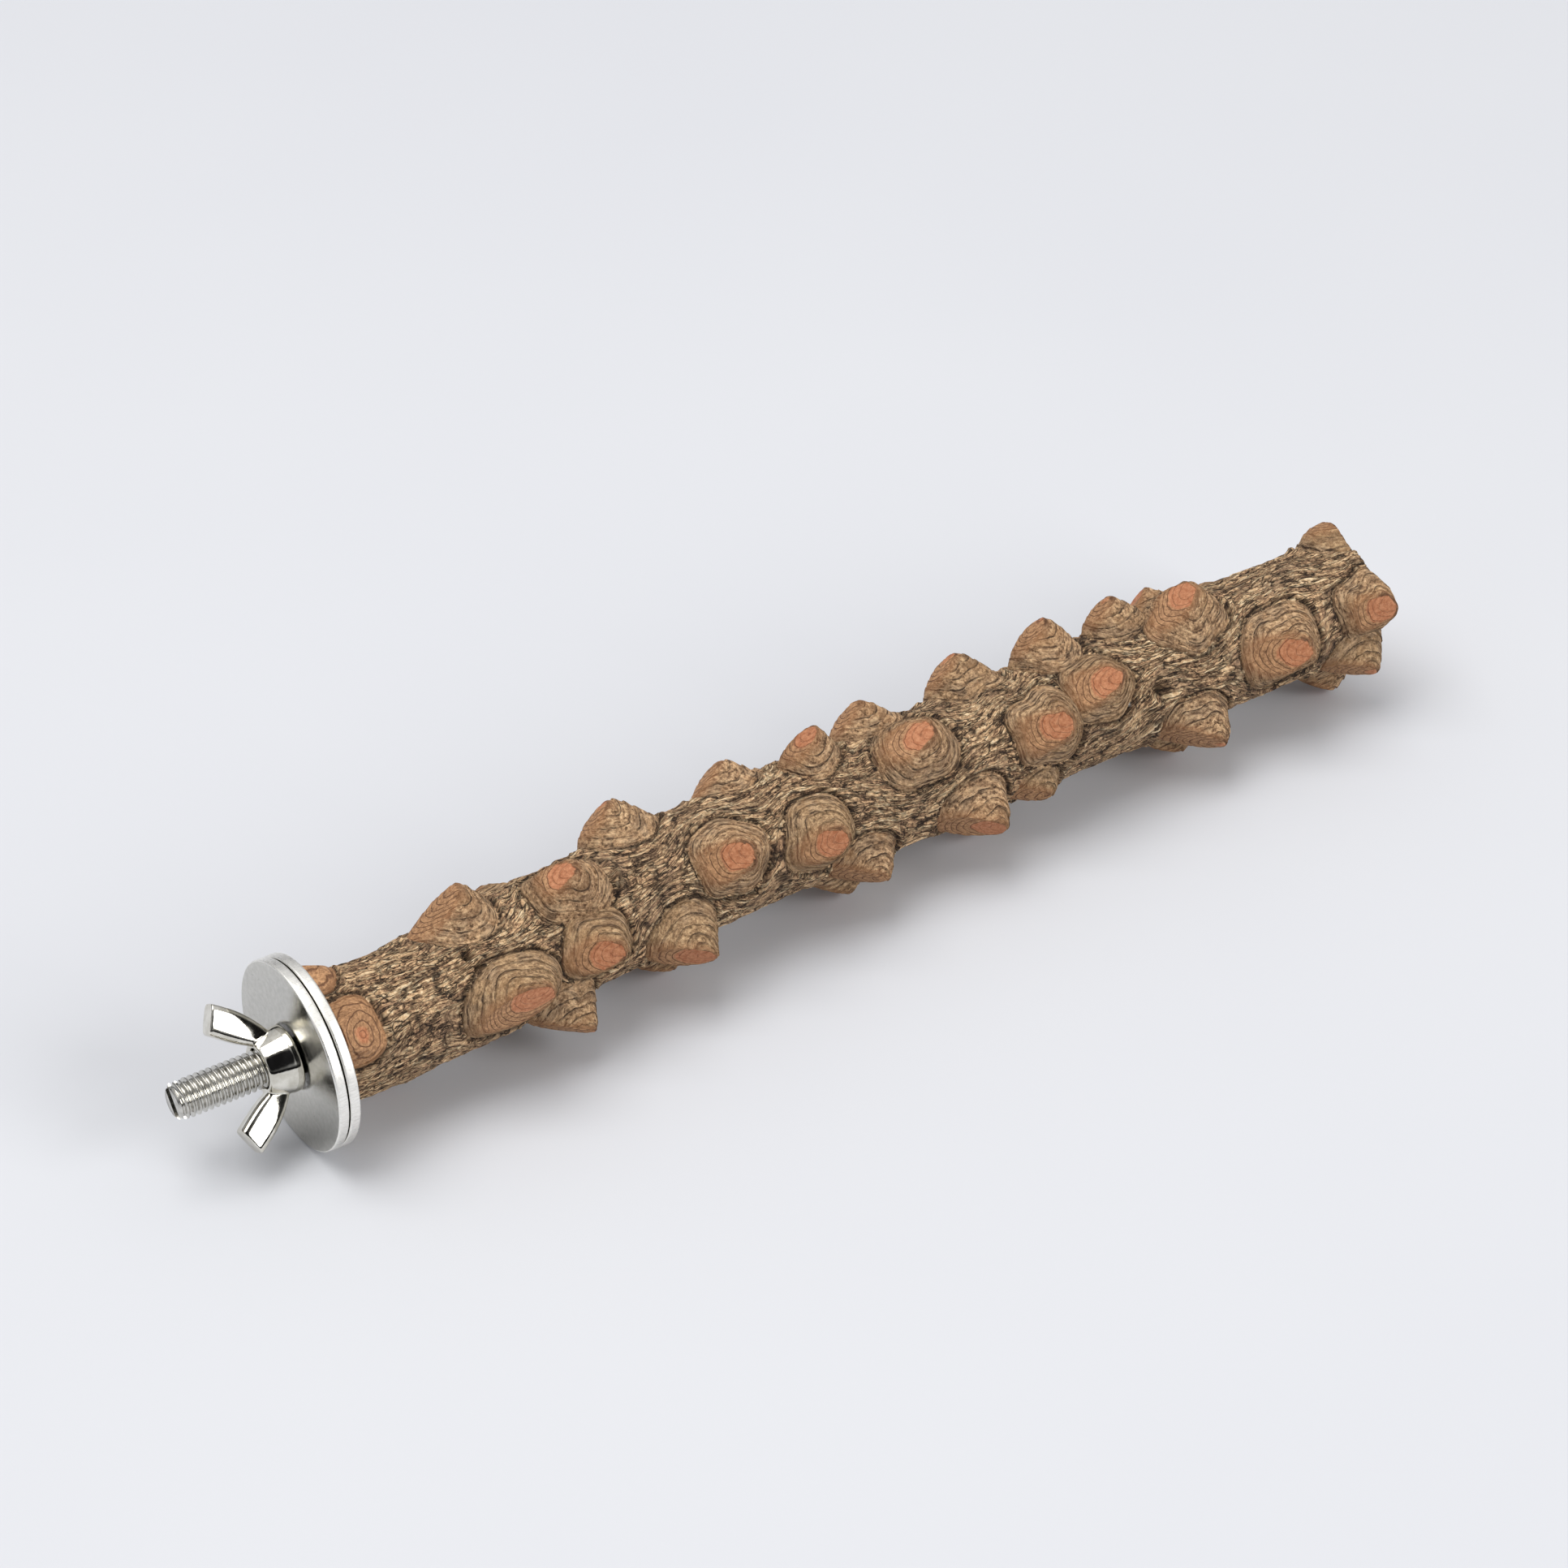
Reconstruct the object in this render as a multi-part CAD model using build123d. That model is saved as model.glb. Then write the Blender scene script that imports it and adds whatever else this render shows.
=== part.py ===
from build123d import *
from math import atan2, cos, degrees, hypot, radians, sin
import os

# Bird perch: a natural branch covered in sanded cork knobs, clamped to cage bars by a hanger bolt,
# two penny washers and a wing nut. Millimetres. The origin is on the bolt axis at the clamp plane,
# the front face of the rear washer. +X runs along the branch away from the bolt tip, +Z is up.

# Hanger bolt: machine thread outside the branch, fading out towards it, and wood thread inside
thread_diameter = 6.0
runout_diameter = 5.9
full_thread_length = 13.0
stud_length = 21.2
tip_chamfer = 0.7
slot_width = 1.6
slot_depth = 2.2
slot_angle = 50.0
wood_thread_diameter = 5.4
wood_thread_length = 26.0
point_length = 6.0
point_diameter = 1.0
bolt_hole_clearance = 0.05

# Penny washers, one each side of the cage bars
washer_diameter = 30.0
washer_thickness = 1.7
washer_bore_clearance = 0.2
washer_edge = 0.3
bar_gap = 0.2
end_gap = 0.1

# Wing nut: its edges are rounded by a share of the wing's thickness
nut_gap = 0.05
nut_thread_clearance = 0.1
hub_base_diameter = 10.4
hub_top_diameter = 8.2
hub_height = 5.2
hub_collar_height = 1.2
hub_edge = 0.4
wing_angle = 55.0
wing_tip_radius = 9.5
wing_tip_height = 10.1
wing_tip_width = 5.0
wing_tip_lean = 24.0
wing_thickness = 2.2
wing_root_depth = 0.7
wing_root_height = 0.9
wing_corner_radius = 1.1
wing_edge_share = 0.32

# Branch: it leaves the bolt square, bends to one side, bends part of the way back and runs out straight
branch_length = 196.0
branch_diameter = 19.5
bark_thickness = 2.0
bark_gap = 0.05
first_bend_radius = 258.0
first_bend_angle = 7.2
second_bend_radius = 627.0
second_bend_angle = 5.7

# Knobs: cork humps on the bark, each sanded to a flat that faces a little towards the bolt.
# Insets are shares of a knob's width, taken off all round on the way up. Two knobs closer than
# the reach, as a share of their half sizes added together, are fitted to each other.
knob_seat_gap = 0.05
knob_root_depth = 3.5
knob_root_share = 1.16
shoulder_height = 0.45
shoulder_inset = 0.20
crown_height = 1.35
crown_inset = 0.27
flat_tilt = 20.0
knob_reach = 1.2

# Each row: share of the way along, angle round the branch from +Y towards +Z, then length, width
# and rise as shares of the branch's diameter
knobs_in_sight = [
    (0.004, 58, 0.692, 0.564, 0.179),
    (0.014, 137, 0.641, 0.564, 0.236),
    (0.139, 70, 0.795, 0.641, 0.226),
    (0.230, 101, 0.795, 0.615, 0.246),
    (0.228, 160, 0.718, 0.564, 0.246),
    (0.145, 169, 0.923, 0.667, 0.267),
    (0.194, 215.5, 0.667, 0.564, 0.297),
    (0.307, 193, 0.718, 0.615, 0.282),
    (0.304, 52, 0.744, 0.641, 0.241),
    (0.364, 140, 0.744, 0.641, 0.246),
    (0.443, 154, 0.718, 0.615, 0.256),
    (0.484, 206, 0.718, 0.590, 0.215),
    (0.409, 46, 0.718, 0.590, 0.174),
    (0.472, 78, 0.564, 0.487, 0.236),
    (0.536, 54, 0.667, 0.564, 0.195),
    (0.551, 113, 0.795, 0.667, 0.246),
    (0.588, 196, 0.744, 0.615, 0.267),
    (0.652, 207, 0.538, 0.462, 0.113),
    (0.630, 54, 0.718, 0.590, 0.256),
    (0.666, 144, 0.744, 0.641, 0.246),
    (0.723, 127, 0.718, 0.590, 0.236),
    (0.708, 66, 0.692, 0.564, 0.277),
    (0.779, 60, 0.641, 0.538, 0.226),
    (0.827, 93, 0.821, 0.667, 0.256),
    (0.897, 160, 0.846, 0.718, 0.267),
    (0.809, 206, 0.744, 0.615, 0.287),
    (0.998, 62, 0.636, 0.564, 0.149),
    (0.986, 154, 0.667, 0.590, 0.246),
    (0.974, 206, 0.667, 0.564, 0.231),
]
knobs_behind = [
    (0.062, 278, 0.744, 0.615, 0.205),
    (0.072, 326, 0.718, 0.590, 0.256),
    (0.174, 288, 0.769, 0.641, 0.226),
    (0.200, 356, 0.769, 0.641, 0.256),
    (0.312, 257, 0.718, 0.590, 0.205),
    (0.297, 312, 0.795, 0.641, 0.267),
    (0.478, 254, 0.718, 0.590, 0.210),
    (0.379, 350, 0.564, 0.487, 0.215),
    (0.440, 308, 0.718, 0.615, 0.246),
    (0.537, 292, 0.769, 0.641, 0.249),
    (0.562, 356, 0.718, 0.590, 0.256),
    (0.649, 306, 0.769, 0.641, 0.256),
    (0.613, 257, 0.667, 0.538, 0.205),
    (0.715, 352, 0.718, 0.590, 0.256),
    (0.777, 304, 0.769, 0.615, 0.256),
    (0.824, 34, 0.641, 0.538, 0.164),
    (0.812, 254, 0.718, 0.590, 0.210),
    (0.968, 254, 0.667, 0.590, 0.231),
    (0.919, 315, 0.744, 0.615, 0.267),
    (0.904, 356, 0.692, 0.564, 0.236),
]
knobs = [
    (share, around, length * branch_diameter, width * branch_diameter, rise * branch_diameter)
    for share, around, length, width, rise in knobs_in_sight + knobs_behind
]

thread_radius = thread_diameter / 2
washer_radius = washer_diameter / 2
front_washer_back = -bar_gap
front_washer_face = front_washer_back - washer_thickness
nut_base = front_washer_face - nut_gap
branch_start = washer_thickness + end_gap
first_bend = JernArc((branch_start, 0, 0), (1, 0, 0), first_bend_radius, first_bend_angle)
second_bend = JernArc(first_bend @ 1, first_bend % 1, second_bend_radius, -second_bend_angle)
straight_length = branch_length - first_bend.length - second_bend.length
straight = PolarLine(second_bend @ 1, straight_length, direction=second_bend % 1)
centre_line = Wire(first_bend.edges() + second_bend.edges() + straight.edges())
bark_radius = branch_diameter / 2


def rod(radius):
    """A round rod along the whole centre line."""
    start = Plane(origin=centre_line @ 0, z_dir=centre_line % 0)
    return sweep(start * Circle(radius), centre_line)


def turned(profile):
    """A solid of revolution about the bolt axis from (x, radius) corners."""
    outline = make_face(Polyline(*[(x, r, 0) for x, r in profile], close=True))
    return revolve(outline, Axis.X)


def bolt_shape(spare):
    """The hanger bolt's envelope, larger all round by spare."""
    tip = -stud_length
    wood_end = branch_start + wood_thread_length
    cone_start = wood_end - point_length
    runout_radius = runout_diameter / 2
    wood_radius = wood_thread_diameter / 2
    return turned([
        (tip, 0),
        (tip, thread_radius - tip_chamfer + spare),
        (tip + tip_chamfer, thread_radius + spare),
        (tip + full_thread_length, thread_radius + spare),
        (branch_start, runout_radius + spare),
        (branch_start + runout_radius - wood_radius, wood_radius + spare),
        (cone_start, wood_radius + spare),
        (wood_end + spare, point_diameter / 2 + spare),
        (wood_end + spare, 0),
    ])


def hanger_bolt():
    """Stud with a chamfered, slotted tip outside and a tapering point in the wood."""
    slot = Pos(-stud_length, 0, 0) * Box(2 * slot_depth, thread_diameter, slot_width)
    return bolt_shape(0) - Rot(X=slot_angle) * slot


def washer(back):
    """Penny washer with its back face at x = back, both rims broken by the punch."""
    bore = thread_diameter + 2 * washer_bore_clearance
    disc = Cylinder(washer_radius, washer_thickness, align=(Align.CENTER, Align.CENTER, Align.MAX))
    rims = disc.edges().filter_by(GeomType.CIRCLE)
    disc = chamfer(rims, washer_edge)
    return Pos(back, 0, 0) * Rot(Y=90) * (disc - Cylinder(bore / 2, 3 * washer_thickness))


def wing():
    """One wing as a flat blade in the XZ plane, running out and forward from the hub."""
    tip_x = nut_base - wing_tip_height
    half = wing_tip_width / 2
    across_x = half * sin(radians(wing_tip_lean))
    across_r = half * cos(radians(wing_tip_lean))
    root = hub_base_diameter / 2 - wing_root_depth
    crown = hub_top_diameter / 2 - wing_root_depth
    outline = Polyline(
        (nut_base - wing_root_height, 0, root - wing_root_depth),
        (nut_base - wing_root_height, 0, root),
        (tip_x + across_x, 0, wing_tip_radius + across_r),
        (tip_x - across_x, 0, wing_tip_radius - across_r),
        (nut_base - hub_height, 0, crown),
        (nut_base - hub_height, 0, crown - wing_root_depth),
        close=True,
    )
    blade = extrude(make_face(outline), wing_thickness / 2, both=True)
    corners = blade.edges().filter_by(Axis.Y).sort_by(Axis.X)[:2]
    blade = fillet(corners, wing_corner_radius)
    rims = [
        edge
        for face in (blade.faces().sort_by(Axis.Y)[0], blade.faces().sort_by(Axis.Y)[-1])
        for edge in face.edges()
        if edge.bounding_box().max.Z > hub_base_diameter / 2
    ]
    return fillet(rims, wing_edge_share * wing_thickness)


def wing_nut():
    """Turned hub with a collar, two swept wings half a turn apart, and the threaded bore."""
    top = nut_base - hub_height
    collar = nut_base - hub_collar_height
    hub = turned([
        (nut_base, 0),
        (nut_base, hub_base_diameter / 2 - hub_edge),
        (nut_base - hub_edge, hub_base_diameter / 2),
        (collar, hub_base_diameter / 2),
        (top + hub_edge, hub_top_diameter / 2),
        (top, hub_top_diameter / 2 - hub_edge),
        (top, 0),
    ])
    blade = Rot(X=wing_angle - 90) * wing()
    bore = Rot(Y=90) * Cylinder(thread_radius + nut_thread_clearance, 4 * hub_height)
    return hub + blade + Rot(X=180) * blade - bore


def knob(share, around, length, width, rise):
    """Cork hump tapering from its root in the bark over a shoulder, cut off by its sanded flat."""
    along = centre_line % share
    sideways = Vector(-along.Y, along.X, 0)
    outward = sideways * cos(radians(around)) + Vector(0, 0, 1) * sin(radians(around))
    seat = Plane(origin=centre_line @ share, x_dir=along, z_dir=outward)
    root = Pos(0, 0, bark_radius - knob_root_depth) * SlotOverall(
        knob_root_share * length, knob_root_share * width
    )
    lower = tapered(root, knob_root_depth + shoulder_height * rise, shoulder_inset * width)
    shoulder = lower.faces().sort_by(Axis.Z)[-1]
    upper = tapered(shoulder, (crown_height - shoulder_height) * rise, crown_inset * width)
    sanded = Plane(Pos(0, 0, bark_radius + rise) * Rot(Y=-flat_tilt))
    return seat * split(lower + upper, sanded, keep=Keep.BOTTOM)


def tapered(section, height, inset):
    """A section raised by height and drawn in all round by inset."""
    return extrude(section, height, taper=degrees(atan2(inset, height)))


def touching(first, second):
    """Whether the roots of two knobs reach each other on the bark."""
    turn = (first[1] - second[1] + 180) % 360 - 180
    reach_along = knob_root_share * (first[2] + second[2]) / 2
    reach_round = knob_root_share * (first[3] + second[3]) / 2
    apart_along = (first[0] - second[0]) * branch_length / reach_along
    apart_round = bark_radius * radians(turn) / reach_round
    return hypot(apart_along, apart_round) < knob_reach


def seated_knobs():
    """Every knob seated on the bark, sawn off with the branch ends, later ones grown round earlier."""
    under = rod(bark_radius + knob_seat_gap)
    sawn = rod(branch_diameter)
    whole = [knob(*row) for row in knobs]
    seated = []
    for i, row in enumerate(knobs):
        body = whole[i] - under
        if min(row[0], 1 - row[0]) * branch_length < row[2]:
            body = body & sawn
        for j in range(i):
            if touching(row, knobs[j]):
                body = body - whole[j]
        seated.append(body.solids().sort_by(SortBy.VOLUME)[-1])
    return seated


pieces = {
    "hanger_bolt": hanger_bolt(),
    "rear_washer": washer(washer_thickness),
    "front_washer": washer(front_washer_back),
    "wing_nut": wing_nut(),
    "wood_core": rod(bark_radius - bark_thickness - bark_gap) - bolt_shape(bolt_hole_clearance),
    "bark": rod(bark_radius) - rod(bark_radius - bark_thickness),
}
for number, body in enumerate(seated_knobs(), start=1):
    pieces[f"knob_{number:02d}"] = body

os.makedirs("parts", exist_ok=True)
for name, body in pieces.items():
    export_step(body, f"parts/{name}.step")
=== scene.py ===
import bmesh
import bpy
import numpy as np
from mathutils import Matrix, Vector


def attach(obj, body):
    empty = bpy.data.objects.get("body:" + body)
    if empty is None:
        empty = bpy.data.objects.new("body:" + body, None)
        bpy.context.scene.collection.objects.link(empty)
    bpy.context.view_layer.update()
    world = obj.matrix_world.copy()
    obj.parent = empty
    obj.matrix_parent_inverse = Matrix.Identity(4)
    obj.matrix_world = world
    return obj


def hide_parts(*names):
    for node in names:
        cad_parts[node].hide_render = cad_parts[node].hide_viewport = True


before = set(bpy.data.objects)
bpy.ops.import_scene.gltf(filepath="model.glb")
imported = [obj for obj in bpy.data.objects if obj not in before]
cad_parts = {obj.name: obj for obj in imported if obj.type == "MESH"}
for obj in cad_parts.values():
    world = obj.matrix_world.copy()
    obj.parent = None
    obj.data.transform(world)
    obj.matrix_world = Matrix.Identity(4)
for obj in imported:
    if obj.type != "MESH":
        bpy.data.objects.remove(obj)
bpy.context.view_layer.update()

# Wood core: the heart of a dried branch, pale and close-grained, bent a little where it grew.
# Only its sawn far end shows. The bolt's wood thread is driven up the middle of the near end.
pith_aside = 9.4


def tint(red, green, blue):
    """A colour given in screen values from 0 to 255, as the linear values a shader takes."""
    share = np.array([red, green, blue]) / 255
    linear = np.where(share <= 0.04045, share / 12.92, ((share + 0.055) / 1.055) ** 2.4)
    return (*map(float, linear), 1.0)


def node(tree, kind, inputs=None, **settings):
    """One shader node with its settings, and its inputs given as values or as other nodes' outputs."""
    made = tree.nodes.new("ShaderNode" + kind)
    for name, value in settings.items():
        setattr(made, name, value)
    for name, value in (inputs or {}).items():
        if isinstance(value, bpy.types.NodeSocket):
            tree.links.new(value, made.inputs[name])
        else:
            made.inputs[name].default_value = value
    return made


def calc(tree, operation, *values):
    """A Math node on one, two or three values."""
    return node(tree, "Math", dict(enumerate(values)), operation=operation).outputs[0]


def times(tree, first, second):
    """Two values multiplied."""
    return calc(tree, "MULTIPLY", first, second)


def span(tree, value, low, high, to_low=0.0, to_high=1.0):
    """A value eased from to_low to to_high as it runs from low to high."""
    inputs = {"Value": value, "From Min": low, "From Max": high, "To Min": to_low, "To Max": to_high}
    return node(tree, "MapRange", inputs, interpolation_type="SMOOTHSTEP").outputs[0]


def blend(tree, factor, first, second):
    """Two colours mixed by a factor."""
    return node(tree, "Mix", {0: factor, 6: first, 7: second}, data_type="RGBA").outputs[2]


def ramp(tree, value, *stops):
    """A colour ramp through (place, colour) stops, its two ends first."""
    made = node(tree, "ValToRGB", {"Fac": value})
    elements = made.color_ramp.elements
    for i, (place, colour) in enumerate(stops):
        point = elements[i] if i < 2 else elements.new(place)
        point.position, point.color = place, colour
    return made.outputs["Color"]


def noise(tree, vector, scale, detail, roughness=0.5):
    """Cloudy noise about 0.5, with smaller clouds added for more detail."""
    inputs = {"Vector": vector, "Scale": scale, "Detail": detail, "Roughness": roughness}
    return node(tree, "TexNoise", inputs).outputs["Fac"]


def finish(name, **sockets):
    """A material with its Principled shader, and the values that are the same all over it."""
    material = bpy.data.materials.new(name)
    material.use_nodes = True
    shader = material.node_tree.nodes["Principled BSDF"]
    for socket, value in sockets.items():
        shader.inputs[socket.replace("_", " ")].default_value = value
    return material, material.node_tree, shader


def dress(tree, shader, colour, roughness, height, strength, depth):
    """Links a shader to its colour, its roughness and a bump of a strength and of a depth in metres."""
    bump = node(tree, "Bump", {"Strength": strength, "Distance": depth, "Height": height})
    tree.links.new(colour, shader.inputs["Base Color"])
    tree.links.new(roughness, shader.inputs["Roughness"])
    tree.links.new(bump.outputs["Normal"], shader.inputs["Normal"])


def effect(name, inputs, outputs):
    """An empty node group with named inputs (name, kind, value) and outputs (name, kind)."""
    group = bpy.data.node_groups.new(name, "ShaderNodeTree")
    for label, kind, value in inputs:
        socket = group.interface.new_socket(label, in_out="INPUT", socket_type="NodeSocket" + kind)
        if value is not None:
            socket.default_value = value
    for label, kind in outputs:
        group.interface.new_socket(label, in_out="OUTPUT", socket_type="NodeSocket" + kind)
    return group, group.nodes.new("NodeGroupInput").outputs, group.nodes.new("NodeGroupOutput").inputs


# dry_grain is shared by wood, bark and cork: uneven fibre tone and small dark pores
dry_grain, grain_in, grain_out = effect(
    "dry_grain",
    [("Vector", "Vector", None), ("Scale", "Float", 1.0), ("Pore Size", "Float", 0.3)],
    [("Tone", "Float"), ("Pores", "Float")],
)
fibre = noise(dry_grain, grain_in["Vector"], grain_in["Scale"], 7.0, 0.68)
pore_scale = times(dry_grain, grain_in["Scale"], 2.6)
pore = node(dry_grain, "TexVoronoi", {"Vector": grain_in["Vector"], "Scale": pore_scale, "Randomness": 1.0})
patchy = noise(dry_grain, grain_in["Vector"], times(dry_grain, grain_in["Scale"], 0.5), 2.0)
size = times(dry_grain, grain_in["Pore Size"], span(dry_grain, patchy, 0.42, 0.62))
inside = calc(dry_grain, "SUBTRACT", size, pore.outputs["Distance"])
dry_grain.links.new(span(dry_grain, fibre, 0.26, 0.74), grain_out["Tone"])
dry_grain.links.new(span(dry_grain, inside, 0.0, 0.09), grain_out["Pores"])


def grained(tree, vector, scale, pore_size):
    """The dry_grain effect, placed in a material with its own values."""
    inputs = {"Vector": vector, "Scale": scale, "Pore Size": pore_size}
    return node(tree, "Group", inputs, node_tree=dry_grain).outputs


heartwood, tree, shader = finish("heartwood")
place = node(tree, "TexCoord").outputs["Object"]
from_pith = node(tree, "Mapping", {
    "Vector": place, "Location": (0.0, -pith_aside, 0.0), "Scale": (120.0, 1000.0, 1000.0),
}).outputs["Vector"]
grain = grained(tree, from_pith, 0.9, 0.34)
rings = node(
    tree, "TexWave",
    {"Vector": from_pith, "Scale": 0.36, "Distortion": 1.6, "Detail": 3.0, "Detail Scale": 0.8},
    wave_type="RINGS", rings_direction="X", wave_profile="SAW",
)
tone = calc(tree, "ADD", times(tree, rings.outputs["Fac"], 0.55), times(tree, grain["Tone"], 0.45))
wood = ramp(tree, tone, (0.1, tint(203, 166, 120)), (0.9, tint(150, 108, 70)), (0.55, tint(190, 150, 104)))
wood = blend(tree, times(tree, grain["Pores"], 0.6), wood, tint(104, 72, 46))
height = calc(tree, "SUBTRACT", tone, grain["Pores"])
dress(tree, shader, wood, span(tree, grain["Tone"], 0.0, 1.0, 0.72, 0.9), height, 0.5, 0.00015)
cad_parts["wood_core"].data.materials.clear()
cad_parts["wood_core"].data.materials.append(heartwood)

# Bark: the branch's own grey-brown skin, left on, about 2 mm thick and furrowed lengthwise into loose flakes.
# It parts round the foot of every knob, stands up there in a lip, and is sawn off flush at both ends.
branch_start = 1.8
branch_length = 196.0
branch_diameter = 19.5
bark_radius = branch_diameter / 2
bark_inside = bark_radius - 1.9
bend_radii = 258.0, 627.0
bend_angles = np.radians([7.2, 5.7])

# each knob's share of the way along the branch, angle round it, and length, width and rise in branch diameters
knobs = [
    (0.004, 58, 0.692, 0.564, 0.179), (0.014, 137, 0.641, 0.564, 0.236), (0.139, 70, 0.795, 0.641, 0.226),
    (0.230, 101, 0.795, 0.615, 0.246), (0.228, 160, 0.718, 0.564, 0.246), (0.145, 169, 0.923, 0.667, 0.267),
    (0.194, 215.5, 0.667, 0.564, 0.297), (0.307, 193, 0.718, 0.615, 0.282), (0.304, 52, 0.744, 0.641, 0.241),
    (0.364, 140, 0.744, 0.641, 0.246), (0.443, 154, 0.718, 0.615, 0.256), (0.484, 206, 0.718, 0.590, 0.215),
    (0.409, 46, 0.718, 0.590, 0.174), (0.472, 78, 0.564, 0.487, 0.236), (0.536, 54, 0.667, 0.564, 0.195),
    (0.551, 113, 0.795, 0.667, 0.246), (0.588, 196, 0.744, 0.615, 0.267), (0.652, 207, 0.538, 0.462, 0.113),
    (0.630, 54, 0.718, 0.590, 0.256), (0.666, 144, 0.744, 0.641, 0.246), (0.723, 127, 0.718, 0.590, 0.236),
    (0.708, 66, 0.692, 0.564, 0.277), (0.779, 60, 0.641, 0.538, 0.226), (0.827, 93, 0.821, 0.667, 0.256),
    (0.897, 160, 0.846, 0.718, 0.267), (0.809, 206, 0.744, 0.615, 0.287), (0.998, 62, 0.636, 0.564, 0.149),
    (0.986, 154, 0.667, 0.590, 0.246), (0.974, 206, 0.667, 0.564, 0.231), (0.062, 278, 0.744, 0.615, 0.205),
    (0.072, 326, 0.718, 0.590, 0.256), (0.174, 288, 0.769, 0.641, 0.226), (0.200, 356, 0.769, 0.641, 0.256),
    (0.312, 257, 0.718, 0.590, 0.205), (0.297, 312, 0.795, 0.641, 0.267), (0.478, 254, 0.718, 0.590, 0.210),
    (0.379, 350, 0.564, 0.487, 0.215), (0.440, 308, 0.718, 0.615, 0.246), (0.537, 292, 0.769, 0.641, 0.249),
    (0.562, 356, 0.718, 0.590, 0.256), (0.649, 306, 0.769, 0.641, 0.256), (0.613, 257, 0.667, 0.538, 0.205),
    (0.715, 352, 0.718, 0.590, 0.256), (0.777, 304, 0.769, 0.615, 0.256), (0.824, 34, 0.641, 0.538, 0.164),
    (0.812, 254, 0.718, 0.590, 0.210), (0.968, 254, 0.667, 0.590, 0.231), (0.919, 315, 0.744, 0.615, 0.267),
    (0.904, 356, 0.692, 0.564, 0.236),
]

# marks in the bark, as mm along and degrees round: healed twig scars with their size, a pale fleck, a swelling
scars = (24.2, 117, 1.2), (24.7, 131, 1.1), (152.0, 154, 2.0)
fleck_place = 145.6, 152
swelling_place = 51.2, 108


def branch_line(along):
    """Place and heading of the branch's middle at distances along it: two arcs in the flat, one to
    each side, then a straight run. On an arc the heading grows with distance over radius."""
    tight, wide = bend_radii
    first, second = tight * bend_angles[0], wide * bend_angles[1]
    on_first = np.clip(along, None, first) / tight
    back = np.clip(along - first, 0, second) / wide
    rest = np.clip(along - first - second, 0, None)
    heading = on_first - back
    x = tight * np.sin(on_first) + wide * (np.sin(on_first) - np.sin(heading)) + rest * np.cos(heading)
    y = tight * (1 - np.cos(on_first)) + wide * (np.cos(heading) - np.cos(on_first)) + rest * np.sin(heading)
    return branch_start + x, y, heading


def wrapped(along, angle, radius):
    """Points at a radius and angle round the branch's middle, the angle counted from its left side upwards."""
    x, y, heading = branch_line(along)
    side, up = radius * np.cos(angle), radius * np.sin(angle)
    return np.stack(np.broadcast_arrays(x - side * np.sin(heading), y + side * np.cos(heading), up), -1)


def ease(value):
    """A value held between 0 and 1 with a soft start and stop."""
    value = np.clip(value, 0, 1)
    return value * value * (3 - 2 * value)


def bell(value):
    """One at nought, falling away to nothing by about two on either side: e to minus the square."""
    return np.exp(-(value**2))


def turn_past(angle, around):
    """Angles counted from a direction in degrees round the branch, up to half a turn either way."""
    return (angle - np.radians(around) + np.pi) % (2 * np.pi) - np.pi


def ripple(seed, u, v, columns):
    """Smooth noise from 0 to 1: random heights on a lattice, eased between, and closed in v after so many columns."""
    u = u - u.min()
    heights = np.random.default_rng(seed).random((int(u.max()) + 2, columns))
    i, j = np.floor(u).astype(int), np.floor(v).astype(int)
    p, q = ease(u - i), ease(v - j)
    j, k = j % columns, (j + 1) % columns
    near = heights[i, j] * (1 - q) + heights[i, k] * q
    return near * (1 - p) + (heights[i + 1, j] * (1 - q) + heights[i + 1, k] * q) * p


def flakes(seed, u, v, columns):
    """Cells round points scattered one to a lattice square: how much further the second nearest point is than
    the nearest, which is nought along a crack, and a random shade for each cell."""
    u = u - u.min() + 1
    chance = np.random.default_rng(seed)
    rows = int(u.max()) + 3
    spots, shades = chance.random((rows, columns, 2)), chance.random((rows, columns))
    i, j = np.floor(u).astype(int), np.floor(v).astype(int)
    nearest, second, shade = np.full(u.shape, 9.0), np.full(u.shape, 9.0), np.zeros(u.shape)
    for di in (-1, 0, 1):
        for dj in (-1, 0, 1):
            spot = spots[i + di, (j + dj) % columns]
            gap = np.hypot(i + di + spot[..., 0] - u, j + dj + spot[..., 1] - v)
            closer = gap < nearest
            second = np.where(closer, nearest, np.minimum(second, gap))
            shade = np.where(closer, shades[i + di, (j + dj) % columns], shade)
            nearest = np.minimum(nearest, gap)
    return second - nearest, shade


def knob_foot(number, length, width, way):
    """How far a knob's foot reaches in each direction along the bark: a squarish oval with a slow random wobble."""
    chance = np.random.default_rng(40 + number)
    square = 2.3
    oval = np.abs(np.cos(way) / (0.48 * length)) ** square + np.abs(np.sin(way) / (0.5 * width)) ** square
    wobble = sum(
        chance.uniform(-0.05, 0.05) * np.cos(lobes * way + chance.uniform(0, 6.3)) for lobes in (2, 3, 4, 5)
    )
    return oval ** (-1 / square) * (1 + wobble)


def placed(name, data):
    """A mesh, a lamp or a camera as an object of the scene."""
    made = bpy.data.objects.new(name, data)
    bpy.context.scene.collection.objects.link(made)
    return made


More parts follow.
